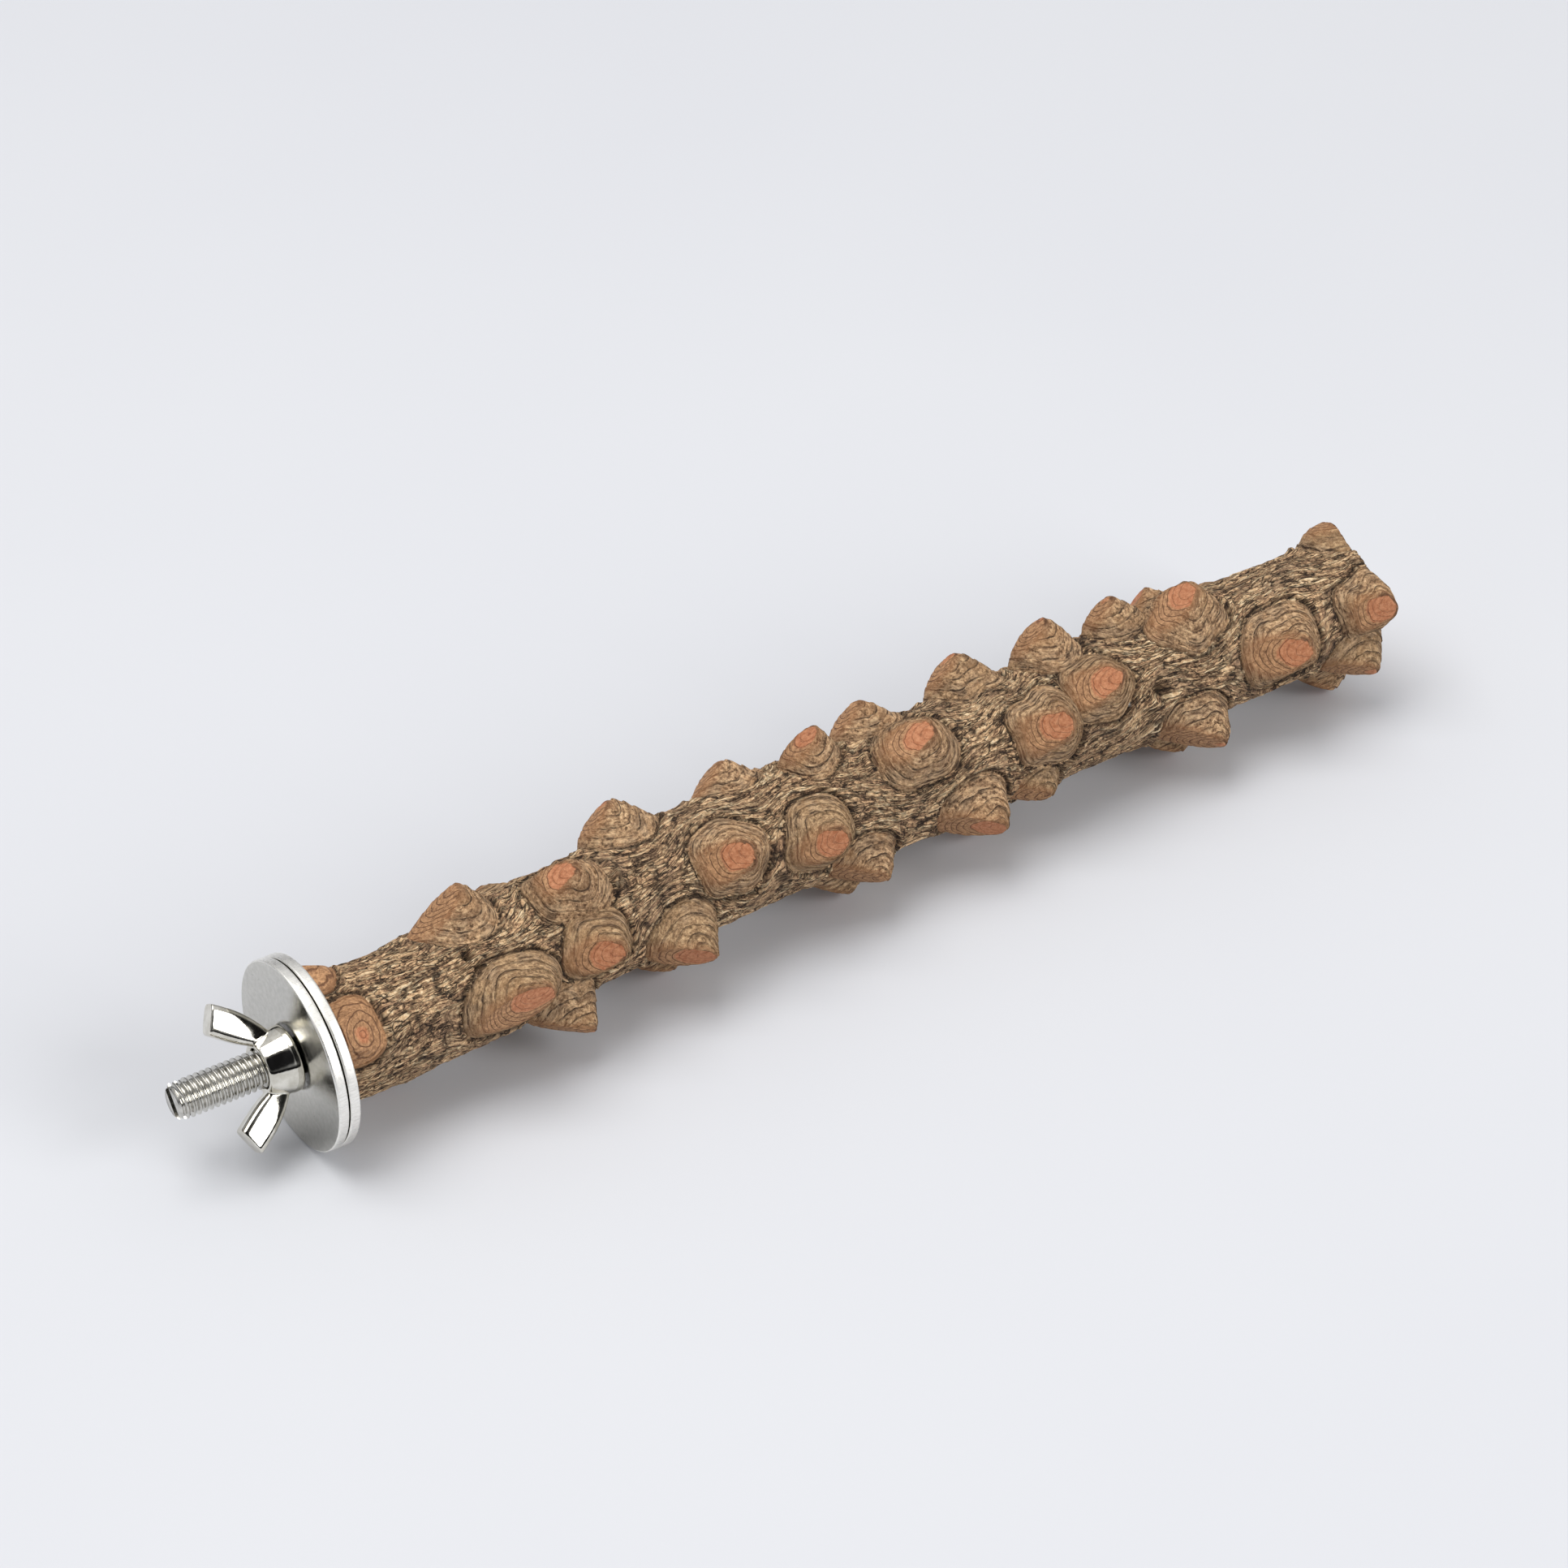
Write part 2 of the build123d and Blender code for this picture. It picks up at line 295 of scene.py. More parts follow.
def skin(name, points, closed_rows=False, **fields):
    """A mesh through a grid of points in mm, closed round its columns, with a value or vector kept at each point."""
    index = np.arange(points.shape[0] * points.shape[1]).reshape(points.shape[:2])
    right = np.roll(index, -1, 1)
    quads = np.stack([index, right, np.roll(right, -1, 0), np.roll(index, -1, 0)], -1)
    quads = quads if closed_rows else quads[:-1]
    mesh = bpy.data.meshes.new(name)
    mesh.from_pydata((points.reshape(-1, 3) / 1000).tolist(), [], quads.reshape(-1, 4).tolist())
    for field, values in fields.items():
        vector = values.ndim == 3
        kept = mesh.attributes.new(field, "FLOAT_VECTOR" if vector else "FLOAT", "POINT")
        kept.data.foreach_set("vector" if vector else "value", np.ascontiguousarray(values, np.float32).ravel())
    shape = bmesh.new()
    shape.from_mesh(mesh)
    bmesh.ops.remove_doubles(shape, verts=shape.verts, dist=1e-7)
    bmesh.ops.recalc_face_normals(shape, faces=shape.faces)
    shape.to_mesh(mesh)
    shape.free()
    mesh.shade_smooth()
    return placed(name, mesh)


bark_rows, bark_columns = 430, 200
along = np.linspace(0, branch_length, bark_rows)[:, None] + np.zeros((1, bark_columns))
angle = np.linspace(0, 2 * np.pi, bark_columns, endpoint=False)[None, :] + np.zeros((bark_rows, 1))

# the furrows part round each knob, and the bark rises to a lip, a thin groove and a sunk bed at its foot
shove, lip, groove, sunk = (np.zeros(along.shape) for _ in range(4))
for number, (share, around, length, width, rise) in enumerate(knobs, 1):
    s = along - share * branch_length
    turn = turn_past(angle, around)
    t = np.where(np.abs(turn) < 1.4, bark_radius * np.sin(turn), bark_radius * turn)
    reach = knob_foot(number, branch_diameter * length, branch_diameter * width, np.arctan2(t, s))
    far = np.hypot(s, t) / reach
    away = np.hypot(s, t) - reach
    shove += turn / np.maximum(far, 1) ** 2 * (1 - ease((far - 1) / 2))
    lip = np.maximum(lip, 0.8 * bell(np.clip(away, 0, None) / 1.6) + 0.3 * bell((away - 0.5) / 0.35))
    groove = np.maximum(groove, bell(away / 0.2))
    sunk = np.maximum(sunk, ease(-away / 1.2))

flake_length, flakes_round = 4.6, 52
swept = angle - 0.5 * shove
loops = swept / (2 * np.pi)
sway = 0.9 * (ripple(1, along / 6, loops * 16, 16) - 0.5)
gap, flake = flakes(2, along / flake_length + 0.8 * sway, loops * flakes_round + sway, flakes_round)
scar, burr = np.zeros(along.shape), np.zeros(along.shape)
for where, around, size in scars:
    apart = np.hypot(along - where, bark_radius * turn_past(angle, around)) / size
    scar = np.maximum(scar, 1 - ease(apart))
    burr += 0.5 * bell((apart - 1.2) / 0.5)
fleck = np.hypot(along - fleck_place[0], bark_radius * turn_past(angle, fleck_place[1]))
fleck = 1 - ease((fleck - 0.3) / 0.35)
swelling = np.hypot(along - swelling_place[0], bark_radius * turn_past(angle, swelling_place[1]))
burr += 2.6 * (1 - ease(swelling / 3.6))
relief = 0.26 * ease(gap / 0.4) * (0.45 + 0.9 * flake) + 0.3 * (ripple(4, along / 8, loops * 20, 20) - 0.5)
relief += 0.2 * (ripple(5, along / 1.4, loops * 64, 64) - 0.5)
radius = bark_radius - 0.3 + relief * (1 + burr) + burr + 0.55 * lip - 0.6 * groove - 1.6 * sunk - 1.1 * scar
# crevice marks the sunk cracks between flakes; the bark's colour darkens them, partly for the furrows' own darker
# tint and partly as painted shade
crevice = np.clip(1 - ease(gap / 0.24), 0, 1)
flow = np.stack([along, bark_radius * np.cos(swept), bark_radius * np.sin(swept)], -1)

# the grid goes on over the far sawn rim, back along the inside and out over the near rim
steps = np.linspace(0, 1, 5)[1:, None]
far_rim = radius[-1:] + (bark_inside - radius[-1:]) * steps
near_rim = bark_inside + (radius[:1] - bark_inside) * steps[:-1]
back = np.linspace(branch_length, 0, 32)[1:, None]
rows_along = np.concatenate([along[:, :1], np.full((4, 1), branch_length), back, np.zeros((3, 1))])
rows_radius = np.concatenate([radius, far_rim, np.full((31, bark_columns), bark_inside), near_rim])
hidden = np.zeros((len(rows_along) - bark_rows, bark_columns))
bark_skin = skin(
    "bark_skin",
    wrapped(rows_along, angle[:1], rows_radius),
    closed_rows=True,
    flow=np.concatenate([flow, hidden[..., None] + flow[-1:]]),
    crevice=np.concatenate([crevice, hidden]),
    flake=np.concatenate([flake, hidden + 0.4]),
    # foot marks the groove round each knob and the sunk twig scars, which the colour darkens as painted shade
    foot=np.concatenate([np.maximum(groove, scar), hidden]),
    fleck=np.concatenate([fleck, hidden]),
    sawn=np.concatenate([np.zeros(along.shape), hidden + 1]),
)


def kept_fields(tree, *names):
    """The values that a mesh keeps at its points, by name."""
    return {name: node(tree, "Attribute", attribute_name=name).outputs["Fac"] for name in names}


def scaled(tree, vector, *scale):
    """Coordinates multiplied by a number on each axis."""
    return node(tree, "Mapping", {"Vector": vector, "Scale": scale}).outputs["Vector"]


weathered_bark, tree, shader = finish("weathered_bark", Specular_IOR_Level=0.25)
flow_vector = node(tree, "Attribute", attribute_name="flow").outputs["Vector"]
field = kept_fields(tree, "crevice", "flake", "foot", "fleck", "sawn")
drift = node(tree, "TexNoise", {"Vector": flow_vector, "Scale": 0.3, "Detail": 4.0}).outputs["Color"]
strand = scaled(tree, flow_vector, 0.14, 1.0, 1.0)
strand = node(tree, "VectorMath", {0: drift, 1: (1.1, 1.1, 1.1), 2: strand}, operation="MULTIPLY_ADD")
strand = strand.outputs["Vector"]
grain = grained(tree, strand, 2.4, 0.3)
crack = node(tree, "TexVoronoi", {"Vector": strand, "Scale": 1.8}, feature="DISTANCE_TO_EDGE").outputs["Distance"]
chip = node(tree, "TexVoronoi", {"Vector": strand, "Scale": 1.8})
chip_tone = node(tree, "SeparateColor", {"Color": chip.outputs["Color"]}).outputs[0]
streak = calc(tree, "FRACT", times(tree, noise(tree, strand, 1.1, 3.0, 0.55), 5.0))
streak = calc(tree, "ABSOLUTE", calc(tree, "SUBTRACT", streak, 0.5))
width = span(tree, grain["Tone"], 0.0, 1.0, 0.05, 0.15)
hairline = calc(tree, "SUBTRACT", 1.0, span(tree, calc(tree, "DIVIDE", crack, width), 0.0, 1.0))
strength = noise(tree, flow_vector, 0.7, 3.0)
furrow = calc(tree, "MAXIMUM", hairline, span(tree, streak, 0.03, 0.15, 1.0, 0.0))
furrow = times(tree, furrow, span(tree, strength, 0.34, 0.56, 0.45, 1.0))
grit = span(tree, noise(tree, flow_vector, 1.8, 5.0, 0.7), 0.3, 0.7)
tone = calc(tree, "MULTIPLY_ADD", grit, 0.36, times(tree, chip_tone, 0.22))
fibres = calc(tree, "MULTIPLY_ADD", grain["Tone"], 0.35, times(tree, field["flake"], 0.1))
colour = ramp(
    tree, calc(tree, "ADD", tone, fibres),
    (0.24, tint(82, 61, 46)), (0.76, tint(255, 228, 188)), (0.38, tint(164, 129, 99)),
    (0.5, tint(214, 174, 134)), (0.63, tint(240, 204, 158)),
)
patch = noise(tree, flow_vector, 0.16, 3.0)
colour = blend(tree, span(tree, patch, 0.48, 0.7, 0.0, 0.4), colour, tint(152, 128, 106))
# the crevices darkened: partly the furrows' own darker tint, partly painted shade in the sunk cracks
deep = times(tree, field["crevice"], span(tree, strength, 0.35, 0.6, 0.3, 0.85))
colour = blend(tree, deep, colour, tint(48, 37, 30))
colour = blend(tree, times(tree, furrow, 0.95), colour, tint(38, 29, 25))
# painted shade: the groove round each knob's foot and the sunk twig scars darkened almost to black
colour = blend(tree, times(tree, field["foot"], 0.95), colour, tint(36, 27, 22))
colour = blend(tree, field["fleck"], colour, tint(226, 224, 216))
cut_bark = ramp(tree, grain["Tone"], (0.1, tint(94, 64, 44)), (0.9, tint(154, 112, 78)))
colour = blend(tree, field["sawn"], colour, cut_bark)
height = calc(tree, "MULTIPLY_ADD", chip_tone, 0.4, times(tree, grit, 0.6))
height = calc(tree, "SUBTRACT", height, times(tree, furrow, 1.3))
dress(tree, shader, colour, span(tree, grain["Tone"], 0.0, 1.0, 0.74, 0.95), height, 0.9, 0.0003)
bark_skin.data.materials.append(weathered_bark)
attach(bark_skin, "perch")
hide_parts("bark")

# Knobs: humps of layered cork that grew out through the bark, most of them sanded to a flat that leans to the bolt.
# Sanding cuts through the layers, which show as thin dark rings on orange cork. Knobs at the ends are sawn with them.
sanded_cork, tree, shader = finish("sanded_cork", Specular_IOR_Level=0.3)
growth_vector = node(tree, "Attribute", attribute_name="growth").outputs["Vector"]
field = kept_fields(tree, "step", "cut", "ring", "foot", "skirt", "hue", "brow_shade")
close = scaled(tree, node(tree, "TexCoord").outputs["Object"], 1000.0, 1000.0, 1000.0)
grain = grained(tree, scaled(tree, growth_vector, 0.45, 0.45, 1.5), 1.6, 0.34)
speckle = grained(tree, close, 1.7, 0.3)
wander = noise(tree, close, 0.45, 4.0)
blotch = noise(tree, close, 0.22, 3.0)
band = noise(tree, scaled(tree, growth_vector, 0.16, 0.16, 1.3), 1.0, 3.0)

# dark lines at the growth ledges of the sides and, across the sanded faces, at the layers cut through
side_phase = calc(tree, "FRACT", calc(tree, "MULTIPLY_ADD", wander, 0.4, field["step"]))
side_line = span(tree, side_phase, 0.05, 0.2, 1.0, 0.0)
side_line = times(tree, side_line, span(tree, speckle["Tone"], 0.1, 0.5, 0.2, 1.0))
cut_phase = calc(tree, "FRACT", calc(tree, "MULTIPLY_ADD", wander, 0.8, times(tree, field["ring"], 2.0)))
cut_line = span(tree, calc(tree, "ABSOLUTE", calc(tree, "SUBTRACT", cut_phase, 0.5)), 0.02, 0.12, 1.0, 0.0)
sanded = span(tree, calc(tree, "MULTIPLY_ADD", wander, 0.7, field["cut"]), 0.5, 0.8)
past = calc(tree, "MULTIPLY_ADD", wander, 0.9, field["ring"])
past = calc(tree, "MULTIPLY_ADD", field["hue"], 0.5, past)

rind = ramp(
    tree, calc(tree, "MULTIPLY_ADD", speckle["Tone"], 0.6, times(tree, grain["Tone"], 0.4)),
    (0.26, tint(92, 68, 50)), (0.74, tint(242, 206, 162)),
    (0.42, tint(172, 136, 102)), (0.56, tint(206, 167, 127)),
)
scaly = ramp(tree, grain["Tone"], (0.2, tint(70, 53, 42)), (0.8, tint(222, 188, 150)))
halo = calc(tree, "MULTIPLY_ADD", wander, 2.0, field["cut"])
for mask, shade in (
    (span(tree, blotch, 0.5, 0.66, 0.0, 0.4), tint(184, 140, 98)),
    (span(tree, field["hue"], 0.3, 1.0, 0.0, 0.3), tint(164, 138, 100)),
    (span(tree, band, 0.48, 0.64, 0.0, 0.5), tint(122, 94, 70)),
    (times(tree, field["skirt"], span(tree, wander, 0.44, 0.58, 0.1, 0.75)), scaly),
    (times(tree, side_line, span(tree, wander, 0.4, 0.56, 0.35, 0.95)), tint(58, 43, 34)),
    (span(tree, halo, -0.8, 1.2, 0.0, 0.5), tint(190, 134, 92)),
    (times(tree, grain["Pores"], 0.4), tint(84, 62, 46)),
    # painted shade along the uphill rim of the sanded flat
    (times(tree, field["brow_shade"], span(tree, wander, 0.4, 0.6, 0.2, 0.8)), tint(84, 56, 42)),
    # painted shade: the knob's rim darkened where it sinks into the bark's groove
    (times(tree, field["foot"], 0.9), tint(42, 31, 24)),
):
    rind = blend(tree, mask, rind, shade)

brown = ramp(tree, speckle["Tone"], (0.1, tint(128, 92, 64)), (0.9, tint(200, 154, 112)))
orange = ramp(tree, speckle["Tone"], (0.1, tint(166, 102, 68)), (0.9, tint(202, 142, 104)))
face = blend(tree, span(tree, past, -0.05, 0.25), brown, orange)
face = blend(tree, times(tree, cut_line, span(tree, past, 0.0, 0.7, 0.8, 0.12)), face, tint(92, 58, 40))
face = blend(tree, times(tree, speckle["Pores"], 0.5), face, tint(124, 74, 52))
rough_height = calc(tree, "ADD", grain["Tone"], speckle["Tone"])
rough_height = calc(tree, "SUBTRACT", rough_height, calc(tree, "ADD", side_line, grain["Pores"]))
fine_height = times(tree, calc(tree, "ADD", cut_line, speckle["Pores"]), -0.5)
height = times(tree, rough_height, calc(tree, "SUBTRACT", 1.0, sanded))
height = calc(tree, "ADD", height, times(tree, fine_height, sanded))
cork_roughness = span(tree, sanded, 0.0, 1.0, 0.88, 0.7)
dress(tree, shader, blend(tree, sanded, rind, face), cork_roughness, height, 0.85, 0.00022)

# knobs set one by one: how far the crown leans along and round the branch, in the knob's lengths and widths, and how
# steeply the flat slopes along and round it, in degrees; the others lean and slope at random
facing = {
    1: (-0.1, 0.0, -16, 4), 2: (-0.14, 0.0, -30, -6), 3: (0.02, 0.0, 25, 4), 4: (-0.16, 0.04, 22, 8),
    5: (-0.02, 0.02, 27, -4), 6: (0.04, -0.17, 10, -26), 7: (0.1, 0.0, 28, -18), 8: (0.02, 0.0, 29, -16),
    9: (-0.12, 0.0, 26, 2), 10: (-0.04, 0.0, 27, -3), 11: (0.0, 0.03, 20, -12), 12: (0.04, 0.0, 29, -16),
    13: (-0.1, 0.0, 24, 0), 15: (-0.12, 0.0, 26, 0), 16: (-0.02, 0.04, 20, 8), 17: (0.08, 0.0, 29, -16),
    19: (-0.1, 0.0, 26, 0), 20: (0.0, -0.02, 24, -6), 22: (-0.1, 0.0, 26, 0), 23: (-0.1, 0.0, 26, 0),
    26: (0.08, 0.0, 31, -14), 27: (0.0, 0.0, 4, 0), 28: (0.0, 0.0, 20, -12), 29: (0.04, 0.0, 26, -16),
}
# these are rubbed round rather than cut, and show brown layers with no orange core
worn_knobs = 3, 7, 9, 12, 13, 15, 18, 19, 22, 23, 26, 27, 29
# the two knobs by the washer are ground over their whole face, and their rings start from these values
ground_knobs = {1: -1.5, 2: -0.25}
knob_rows, knob_columns = 64, 92


def cork_knob(number, share, around, length, width, rise):
    """A dome from a leaning crown to its flared foot in the bark, stepped by growth layers and roughened, taken down
    to a sanding plane that slopes back to the bolt. Rows run from crown to foot, columns round it, and two more rows
    close it underneath."""
    chance = np.random.default_rng(300 + number)
    rho = np.linspace(0, 1, knob_rows)[:, None] + np.zeros((1, knob_columns))
    way = np.linspace(0, 2 * np.pi, knob_columns, endpoint=False)[None, :] + np.zeros((knob_rows, 1))
    reach = knob_foot(number, length, width, way)
    loose = chance.uniform(-0.06, 0.04), chance.uniform(-0.05, 0.05), chance.uniform(21, 28), chance.uniform(-8, 8)
    lean, tip, slope, roll = facing.get(number, loose)
    lean, tip = lean * length, tip * width
    steep = np.tan(np.radians([slope, roll]))
    s = rho * reach * np.cos(way) + (1 - rho) * lean
    t = rho * reach * np.sin(way) + (1 - rho) * tip

    # the grown dome, its growth ledges and its lumps
    bed = np.sqrt(np.maximum(bark_radius**2 - (reach * np.sin(way)) ** 2, 9)) - 0.5
    crown = bark_radius + chance.uniform(1.36, 1.48) * rise
    smooth = bed + (crown - bed) * (1 - rho**1.55) ** 1.1
    layer = smooth - bed
    turns = way / (2 * np.pi)
    step = layer / 1.6 + 0.7 * ripple(500 + number, layer / 3, turns * 7, 7)
    lumps = 0.5 + 0.7 * ease(s / 6)
    rough = 0.36 * (step % 1 - 0.5) + 0.8 * lumps * (ripple(600 + number, layer / 2.2, turns * 9, 9) - 0.5)
    rough += 0.3 * (ripple(700 + number, layer / 0.6, turns * 34, 34) - 0.5)

    # the sanding plane, met over a soft edge, and the rings that it cuts through
    flat = bark_radius + 0.93 * rise + 1.2 * steep[0] * (s - lean) + steep[1] * (t - tip)
    worn = number in worn_knobs
    soft = 0.7 if worn else 0.25
    height = -soft * np.logaddexp(-(smooth + rough) / soft, -flat / soft)
    proud = smooth + 0.7 * rough - flat
    uphill = steep / np.hypot(*steep)
    climb = uphill[0] * (s - lean) + uphill[1] * (t - tip)
    across = uphill[0] * (t - tip) - uphill[1] * (s - lean) - chance.uniform(-1.2, 1.2)
    ring = 0.42 * climb - 0.05 * across**2 + 0.3 * proud - 1.4 * worn
    # painted shade: a dark crescent along the uphill rim of the flat, standing in for the shade on the far wall
    # beyond it
    brow_shade = bell(proud / 0.6) * ease((climb + 0.5) / 2)
    low, high = -share * branch_length, (1 - share) * branch_length
    sawn_off = (s < low) | (s > high)
    cut = np.where(sawn_off, 1, proud)
    if number in ground_knobs:
        cut = np.maximum(cut, 1.2 * ease((0.96 - rho) / 0.2))
        ring = ground_knobs[number] - 0.36 * np.hypot(s - 1.0, t - 0.8)
    ring = np.where(sawn_off, 0.6 - 1.6 * rho, ring)

    # closed underneath, inside the bark, and turned to its place on the branch
    s = np.clip(s, low, high)
    s = np.concatenate([s, 0.7 * s[-1:], 0 * s[-1:] + np.clip(0, low, high)])
    t = np.concatenate([t, 0.7 * t[-1:], 0 * t[-1:]])
    height = np.concatenate([height, *(np.full((1, knob_columns), bark_radius - depth) for depth in (3.4, 3.6))])
    x, y, heading = branch_line(np.array(share * branch_length))
    turn = np.radians(around)
    up = np.array([0, 0, 1])
    ahead = np.array([np.cos(heading), np.sin(heading), 0])
    side = np.array([-np.sin(heading), np.cos(heading), 0])
    out = side * np.cos(turn) + up * np.sin(turn)
    round_it = up * np.cos(turn) - side * np.sin(turn)
    points = np.array([x, y, 0]) + s[..., None] * ahead + t[..., None] * round_it + height[..., None] * out
    kept = {
        "step": step, "cut": cut, "ring": ring, "brow_shade": brow_shade,
        # foot: the knob's rim down in the bark's groove, darkened as painted shade
        "foot": ease((rho - 0.94) / 0.05),
        "skirt": ease((rho - 0.55) / 0.3),
        "growth": np.stack([4 * np.cos(way) + 20 * number, 4 * np.sin(way), layer], -1),
        "hue": np.full(rho.shape, chance.random()),
    }
    kept = {name: np.concatenate([values, values[-1:], values[-1:]]) for name, values in kept.items()}
    return skin(f"cork_knob_{number:02d}", points, **kept)


for number, (share, around, *sizes) in enumerate(knobs, 1):
    knob = cork_knob(number, share, around, *(branch_diameter * size for size in sizes))
    knob.data.materials.append(sanded_cork)
    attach(knob, "perch")
    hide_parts(f"knob_{number:02d}")

# Hanger bolt: turned steel, plated, with an M6 machine thread outside and a coarse wood thread in the branch.
# Its slotted, chamfered tip takes a screwdriver, which drives the wood thread up the middle of the branch.
stud_tip = -21.2
nut_end = -8.2
machine_end = 1.7
wood_end = 27.6
machine_pitch = 1.0
wood_pitch = 2.4
bolt_columns = 120
slot_half = 0.8
slot_floor = stud_tip + 2.2
slot_turn = np.radians(50)

# plating_wear is shared by the three metals: soft smears, fine scratches and pits
plating_wear, wear_in, wear_out = effect(
    "plating_wear",
    [("Vector", "Vector", None), ("Scale", "Float", 1.0), ("Pit Size", "Float", 0.1)],
    [("Smear", "Float"), ("Scratch", "Float"), ("Pits", "Float")],
)
smear = noise(plating_wear, wear_in["Vector"], wear_in["Scale"], 5.0, 0.6)
stretched = node(plating_wear, "Mapping", {
    "Vector": wear_in["Vector"], "Rotation": (0.4, 0.7, 0.2), "Scale": (0.5, 9.0, 9.0),
}).outputs["Vector"]
scratch = noise(plating_wear, stretched, wear_in["Scale"], 4.0, 0.7)
pit_scale = times(plating_wear, wear_in["Scale"], 2.2)
pit = node(plating_wear, "TexVoronoi", {"Vector": wear_in["Vector"], "Scale": pit_scale})
thin = noise(plating_wear, wear_in["Vector"], times(plating_wear, wear_in["Scale"], 0.8), 2.0)
pit_size = times(plating_wear, wear_in["Pit Size"], span(plating_wear, thin, 0.48, 0.64))
inside = calc(plating_wear, "SUBTRACT", pit_size, pit.outputs["Distance"])
plating_wear.links.new(span(plating_wear, smear, 0.3, 0.7), wear_out["Smear"])
plating_wear.links.new(span(plating_wear, scratch, 0.42, 0.62), wear_out["Scratch"])
plating_wear.links.new(span(plating_wear, inside, 0.0, 0.05), wear_out["Pits"])


def plated(name, dark, light, smooth, dull, scratch_depth, wear_scale, pit_size, ground=100.0):
    """Bright plated steel: a metal whose tone and roughness follow its smears, with scratches and pits in its bump,
    and a paler, rougher, torn edge past the radius where it is left as ground."""
    material, tree, shader = finish(name, Metallic=1.0)
    millimetres = scaled(tree, node(tree, "TexCoord").outputs["Object"], 1000.0, 1000.0, 1000.0)
    inputs = {"Vector": millimetres, "Scale": wear_scale, "Pit Size": pit_size}
    wear = node(tree, "Group", inputs, node_tree=plating_wear).outputs
    across = node(tree, "VectorMath", {0: millimetres, 1: (0.0, 1.0, 1.0)}, operation="MULTIPLY").outputs["Vector"]
    off_axis = node(tree, "VectorMath", {0: across}, operation="LENGTH").outputs["Value"]
    edge = span(tree, off_axis, ground - 0.1, ground)
    colour = blend(tree, wear["Smear"], dark, light)
    colour = blend(tree, times(tree, wear["Pits"], 0.7), colour, tint(70, 64, 58))
    pale = times(tree, edge, span(tree, wear["Scratch"], 0.0, 1.0, 1.0, 0.6))
    colour = blend(tree, pale, colour, tint(252, 250, 245))
    rough = calc(tree, "ADD", span(tree, wear["Smear"], 0.0, 1.0, smooth, dull), times(tree, wear["Pits"], 0.3))
    torn = calc(tree, "MULTIPLY_ADD", wear["Scratch"], 0.2, 0.16)
    rough = calc(tree, "MULTIPLY_ADD", edge, torn, rough)
    height = times(tree, wear["Scratch"], calc(tree, "MULTIPLY_ADD", edge, 6.0, scratch_depth))
    height = calc(tree, "SUBTRACT", height, wear["Pits"])
    dress(tree, shader, colour, rough, height, 0.12, 0.00002)
    return material


def thread_radius(x, turn):
    """A helical ridge: radius from the share of a pitch that a point is past its crest, as a rounded V. The machine
    thread runs up to the branch, the coarser wood thread inside it, drawn in to a point."""
    machine = np.abs(((x / machine_pitch - turn / (2 * np.pi)) % 1) - 0.5) * 2
    coarse = np.abs(((x / wood_pitch - turn / (2 * np.pi)) % 1) - 0.5) * 2
    crest = np.where(x < nut_end, 2.99, 2.93)
    outside = crest - 0.56 * ease(machine * 1.12)
    taper = np.clip((wood_end - x) / 6, 0.08, 1)
    inside = taper * (2.65 - 0.75 * ease(1.6 * coarse - 0.1))
    blunt = np.clip((x - stud_tip) / 0.7, 0, 1)
    return np.minimum(np.where(x < machine_end, outside, inside), 2.25 + 0.74 * blunt)


def carried_round(x, radius, turns):
    """Points at places along the stud's axis, at a radius and a turn about it."""
    return np.stack([x, radius * np.cos(turns), radius * np.sin(turns)], -1)


turns = np.linspace(0, 2 * np.pi, bolt_columns, endpoint=False)[None, :]
x = np.concatenate([np.linspace(stud_tip, machine_end, 400), np.linspace(branch_start, wood_end, 110)])
x = x[:, None] + 0 * turns
radius = thread_radius(x, turns)
x = np.concatenate([x[:1], x[:1], x, x[-1:] + 0.05])
radius = np.concatenate([0 * radius[:1], 0.6 * radius[:1], radius, 0 * radius[-1:]])
cage_bolt = skin("cage_bolt", carried_round(x, radius, turns))

# the slot is milled by a bar across the tip
corner = np.linspace(0.25 * np.pi, 2.25 * np.pi, 4, endpoint=False)[None, :]
reach = np.array([0.0, 6.0, 6.0, 0.0])[:, None]
deep = np.array([slot_floor, slot_floor, stud_tip - 2, stud_tip - 2])[:, None] + 0 * corner
lengthwise = reach * np.sign(np.cos(corner))
crosswise = slot_half * np.sign(reach) * np.sign(np.sin(corner))
mill = skin("slot_mill", np.stack([
    deep,
    lengthwise * np.cos(slot_turn) - crosswise * np.sin(slot_turn),
    lengthwise * np.sin(slot_turn) + crosswise * np.cos(slot_turn),
], -1))
slot_cut = cage_bolt.modifiers.new("slot", "BOOLEAN")
slot_cut.operation, slot_cut.solver, slot_cut.object = "DIFFERENCE", "EXACT", mill
slotted = bpy.data.meshes.new_from_object(cage_bolt.evaluated_get(bpy.context.evaluated_depsgraph_get()))
cage_bolt.modifiers.clear()
cage_bolt.data = slotted
bpy.data.objects.remove(mill)
slotted.shade_smooth()
slotted.set_sharp_from_angle(angle=np.radians(50))
slotted.materials.clear()
slotted.materials.append(
    plated("bolt_plating", tint(180, 178, 172), tint(216, 214, 208), 0.12, 0.26, 0.6, 1.2, 0.12)
)
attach(cage_bolt, "perch")
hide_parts("hanger_bolt")

# Washers: two wide flat discs punched from 1.7 mm steel and plated, loose on the stud either side of the cage bars.
# Punching rounds the rims a little and leaves the edge between them pale and finely torn.
washer_radius = 15.0
washer_bore = 3.2
washer_edge = 0.32
washer_columns = 256
washer_steel = plated(
    "washer_plating", tint(196, 194, 187), tint(212, 210, 203), 0.09, 0.15, 1.0, 1.1, 0.17, ground=14.85
)


